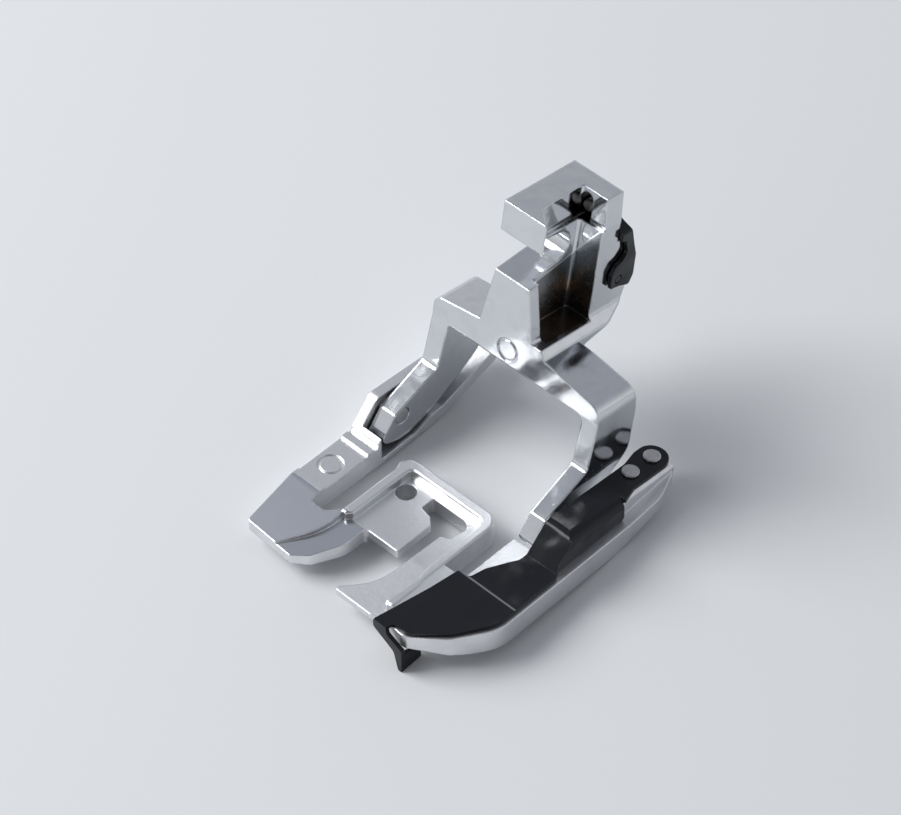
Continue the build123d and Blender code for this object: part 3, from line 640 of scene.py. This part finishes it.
@dataclass
class TailRivets:
    """The two headed rivets on the guide plate's tail, both from one tree.

    Each entry of the profile lifts the head's top by a share of half its height, then scales it.
    """

    finishes: Finishes
    front_seat: Point = (12.35, 16.4, 5.6802)
    rear_seat: Point = (12.35, 19.9, 5.3998)
    tail_slope: float = 0.08012
    head_radius: float = 1.03
    head_height: float = 0.36
    shank_radius: float = 0.58
    shank_length: float = 1.68
    shank_lap: float = 0.02
    shank_sides: int = 32
    wall_share: float = 0.6
    profile: tuple[tuple[float, float], ...] = ((0.35, 0.95), (0.3, 0.90), (-0.12, 0.93), (0.0, 0.6))
    rim_share: float = 0.85
    rim_roughness: float = 0.05
    rim_scale: float = 3.2
    sides: int = 80
    seed: int = 7

    def head(self, sketch: NodeSketch) -> bpy.types.NodeSocket:
        """A pressed head: upright side, two bevels, a flat top with a shallow ring.

        Args:
            sketch: The tree.

        Returns:
            The head's mesh, standing on the origin.
        """
        height = self.head_height * MM
        round_wall = {"Radius": sketch.named("Head radius"), "Depth": sketch.named("Wall height")}
        shape = sketch.add(
            "GeometryNodeMeshCylinder", {"fill_type": "NGON"}, {"Vertices": self.sides, **round_wall}
        )
        top = shape.node.outputs["Top"]
        for rise, share in self.profile:
            move = {"Selection": top, "Offset Scale": rise * height / 2, "Individual": False}
            shape = sketch.add("GeometryNodeExtrudeMesh", {"mode": "FACES"}, {"Mesh": shape, **move})
            top = shape.node.outputs["Top"]
            fit = {"Geometry": shape, "Selection": top, "Scale": share}
            shape = sketch.add("GeometryNodeScaleElements", {"domain": "FACE"}, fit)
        lift = sketch.add("ShaderNodeCombineXYZ", {}, {"Z": height * self.wall_share / 2})
        return sketch.add("GeometryNodeSetPosition", {}, {"Geometry": shape, "Offset": lift})

    def roughened(self, sketch: NodeSketch, shape: bpy.types.NodeSocket) -> bpy.types.NodeSocket:
        """Push the rim in and out a little, as the press left it.

        Args:
            sketch: The tree.
            shape: The head's mesh.

        Returns:
            The mesh with its rough rim.
        """
        place = sketch.add("GeometryNodeInputPosition", {}, {})
        around = sketch.add("ShaderNodeVectorMath", {"operation": "MULTIPLY"}, {0: place, 1: (1, 1, 0)})
        outwards = sketch.add("ShaderNodeVectorMath", {"operation": "NORMALIZE"}, {0: around})
        grain = {"Vector": around, "Scale": self.rim_scale / MM, "Detail": 3.0}
        noise = sketch.add("ShaderNodeTexNoise", {"noise_dimensions": "3D"}, grain, "Fac")
        inwards = {0: noise, 1: -self.rim_roughness * MM}
        depth = sketch.add("ShaderNodeMath", {"operation": "MULTIPLY"}, inwards)
        far = sketch.add("ShaderNodeVectorMath", {"operation": "LENGTH"}, {0: around}, "Value")
        reach = {"A": far, "B": self.head_radius * self.rim_share * MM}
        rim = sketch.add("FunctionNodeCompare", {"operation": "GREATER_THAN"}, reach)
        shift = sketch.add("ShaderNodeVectorMath", {"operation": "SCALE"}, {0: outwards, "Scale": depth})
        moved = {"Geometry": shape, "Selection": rim, "Offset": shift}
        return sketch.add("GeometryNodeSetPosition", {}, moved)

    def shank(self, sketch: NodeSketch) -> bpy.types.NodeSocket:
        """The shank, hanging from just above the origin.

        Args:
            sketch: The tree.

        Returns:
            The shank's mesh.
        """
        length = self.shank_length * MM
        sizes = {"Vertices": self.shank_sides, "Radius": sketch.named("Shank radius"), "Depth": length}
        shape = sketch.add("GeometryNodeMeshCylinder", {"fill_type": "NGON"}, sizes)
        drop = sketch.add("ShaderNodeCombineXYZ", {}, {"Z": self.shank_lap * MM - length / 2})
        return sketch.add("GeometryNodeSetPosition", {}, {"Geometry": shape, "Offset": drop})

    def tree(self) -> NodeSketch:
        """Build the tree: one rivet, set on a line of two points.

        Returns:
            The tree.
        """
        sketch = NodeSketch("tail_rivets")
        sketch.size("Head radius", "NodeSocketFloat", self.head_radius * MM)
        sketch.size("Wall height", "NodeSocketFloat", self.head_height * MM * self.wall_share)
        sketch.size("Shank radius", "NodeSocketFloat", self.shank_radius * MM)
        sketch.size("Start", "NodeSocketVector", (0.0, 0.0, 0.0))
        sketch.size("Step", "NodeSocketVector", (0.0, 0.0, 0.0))
        sketch.size("Seed", "NodeSocketInt", self.seed)
        whole = sketch.add("GeometryNodeJoinGeometry", {}, {})
        for shape in (self.roughened(sketch, self.head(sketch)), self.shank(sketch)):
            sketch.tree.links.new(shape, whole.node.inputs[0])
        row = {"Count": 2, "Start Location": sketch.named("Start"), "Offset": sketch.named("Step")}
        line = sketch.add("GeometryNodeMeshLine", {"mode": "OFFSET"}, row)
        tilt = (-math.atan(self.tail_slope), 0.0, 0.0)
        seats = {"Points": line, "Instance": whole, "Rotation": tilt}
        seated = sketch.add("GeometryNodeInstanceOnPoints", {}, seats)
        spread = {2: 0.0, 3: 6.28, "Seed": sketch.named("Seed")}
        spin = sketch.add("FunctionNodeRandomValue", {"data_type": "FLOAT"}, spread, 1)
        turn = sketch.add("ShaderNodeCombineXYZ", {}, {"Z": spin})
        turns = {"Instances": seated, "Rotation": turn, "Local Space": True}
        turned = sketch.add("GeometryNodeRotateInstances", {}, turns)
        sketch.close(turned, self.finishes.get(self.finishes.rivet))
        return sketch

    def build(self) -> None:
        """Make the rivets and put them in the CAD rivets' place."""
        start, end = Vector(self.front_seat), Vector(self.rear_seat)
        sizes = {"Start": tuple(start * MM), "Step": tuple((end - start) * MM), "Seed": self.seed}
        piece = self.tree().mesh("tail_rivets", sizes)
        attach(piece, Body.SOLE.value)
        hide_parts("rivet_front", "rivet_rear")
        LOG.info("tail_rivets: %d faces", len(piece.data.polygons))


@dataclass
class Studio:
    """Floor, soft room, one key box and the camera, in millimetres and watts."""

    azimuth: float = 43.763
    elevation: float = 46.617
    distance: float = 437.44
    pixels_per_mm: float = 9.13995
    right_shift: float = 0.017
    down_shift: float = 12.832
    origin_y: float = 1.0
    frame_width: int = 901
    sensor: float = 36.0
    floor_front: Point = (9.35, -16.6, -1.93)
    floor_back: Point = (9.35, 10.3, -0.02)
    floor_half: float = 1500.0
    key_place: Point = (-660.0, -370.0, 620.0)
    key_aim: Point = (0.0, 0.0, 8.0)
    key_edge: float = 620.0
    key_power: float = 9.6
    background: Colour = field(default_factory=lambda: srgb(220, 222, 224))
    ceiling: Colour = field(default_factory=lambda: srgb(164, 167, 175))
    dark_corner: Colour = field(default_factory=lambda: srgb(70, 68, 66))

    def toward_camera(self) -> Point:
        """The direction from the foot to the camera's place, where the room is darkest."""
        turn, tip = math.radians(self.azimuth), math.radians(self.elevation)
        return math.sin(turn) * math.cos(tip), -math.cos(turn) * math.cos(tip), math.sin(tip)

    def camera(self) -> None:
        """Set the camera where the photograph was taken from."""
        turn, tip = math.radians(self.azimuth), math.radians(self.elevation)
        right = Vector((math.cos(turn), math.sin(turn), 0.0))
        ahead = Vector((-math.sin(turn) * math.cos(tip), math.cos(turn) * math.cos(tip), -math.sin(tip)))
        down = ahead.cross(right)
        place = Vector((0.0, self.origin_y, 0.0))
        place -= right * self.right_shift + down * self.down_shift + ahead * self.distance
        data = bpy.data.cameras.new("camera")
        data.sensor_width = self.sensor
        data.lens = self.pixels_per_mm * self.distance * self.sensor / self.frame_width
        data.clip_start, data.clip_end = 0.02, 20.0
        camera = bpy.data.objects.new("camera", data)
        turned = Matrix((right, -down, -ahead)).transposed().to_4x4()
        camera.matrix_world = Matrix.Translation(place * MM) @ turned
        bpy.context.scene.collection.objects.link(camera)
        bpy.context.scene.camera = camera
        LOG.info("camera with a %.1f mm lens", data.lens)

    def floor(self) -> None:
        """Lay the floor under the guide blade and both heels, on which the foot stands tipped."""
        front, back = Vector(self.floor_front), Vector(self.floor_back)
        along = (back - front).normalized()
        along, side = along * self.floor_half, Vector((self.floor_half, 0.0, 0.0))
        corners = [front + side * a + along * b for a, b in ((-1, -1), (1, -1), (1, 1), (-1, 1))]
        mesh = bpy.data.meshes.new("floor")
        mesh.from_pydata([c * MM for c in corners], [], [(0, 1, 2, 3)])
        floor = bpy.data.objects.new("floor", mesh)
        bpy.context.scene.collection.objects.link(floor)
        made = bpy.data.materials.new("floor_paper")
        made.use_nodes = True
        graph = Graph(made.node_tree)
        point = graph.place()
        fibre = graph.noise(point, 0.8, 4.0, 0.6)
        bump = {"Strength": 0.15, "Distance": 0.02 * MM, "Height": fibre}
        shader = graph.add(
            "ShaderNodeBsdfPrincipled",
            {},
            {
                "Base Color": graph.blend(fibre * 0.2, self.background, scaled(self.background, 0.97)),
                "Roughness": 0.7,
                "Specular IOR Level": 0.2,
                "Normal": graph.add("ShaderNodeBump", {}, bump),
            },
        )
        graph.add("ShaderNodeOutputMaterial", {}, {"Surface": shader})
        mesh.materials.append(made)

    def world(self) -> None:
        """Light the room softly and show it pale behind the foot."""
        world = bpy.data.worlds.new("room")
        world.use_nodes = True
        bpy.context.scene.world = world
        graph = Graph(world.node_tree)
        direction = graph.add("ShaderNodeTexCoord", {}, {}, "Generated")
        _, _, height = graph.axes(direction)
        room = graph.blend(graph.step(height, 0.08, 0.7), self.background, self.ceiling)
        near = graph.dot(direction, self.toward_camera())
        colour = graph.blend(graph.step(near, 0.72, 0.97), room, self.dark_corner)
        shader = graph.add("ShaderNodeBackground", {}, {"Color": colour, "Strength": 1.0})
        graph.add("ShaderNodeOutputWorld", {}, {"Surface": shader})

    def key_box(self) -> None:
        """Hang the soft box that lights the foot from the left."""
        data = bpy.data.lights.new("key_box", "AREA")
        data.shape = "RECTANGLE"
        data.size = data.size_y = self.key_edge * MM
        data.energy = self.key_power
        lamp = bpy.data.objects.new("key_box", data)
        way = Vector(self.key_aim) - Vector(self.key_place)
        turned = way.to_track_quat("-Z", "Y").to_matrix().to_4x4()
        lamp.matrix_world = Matrix.Translation(Vector(self.key_place) * MM) @ turned
        bpy.context.scene.collection.objects.link(lamp)

    def build(self) -> None:
        """Make the whole studio."""
        bpy.context.scene.view_settings.view_transform = "Standard"
        self.camera()
        self.floor()
        self.world()
        self.key_box()


def main() -> None:
    """Build the scene in order."""
    logging.basicConfig(level=logging.INFO, format="%(name)s: %(message)s")
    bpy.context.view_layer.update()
    finishes = Finishes()
    nodes = {
        "sole": finishes.cast,
        "guide_plate": finishes.black,
        "pivot_pin_left": finishes.rivet,
        "pivot_pin_right": finishes.rivet,
        "yoke": finishes.chrome,
        "release_lever": finishes.black,
        "lever_pin": finishes.black,
        "lock_pin": finishes.dark,
    }
    CadPieces(finishes, nodes).dress()
    TailRivets(finishes).build()
    Studio().build()


if __name__ == "__main__":
    main()
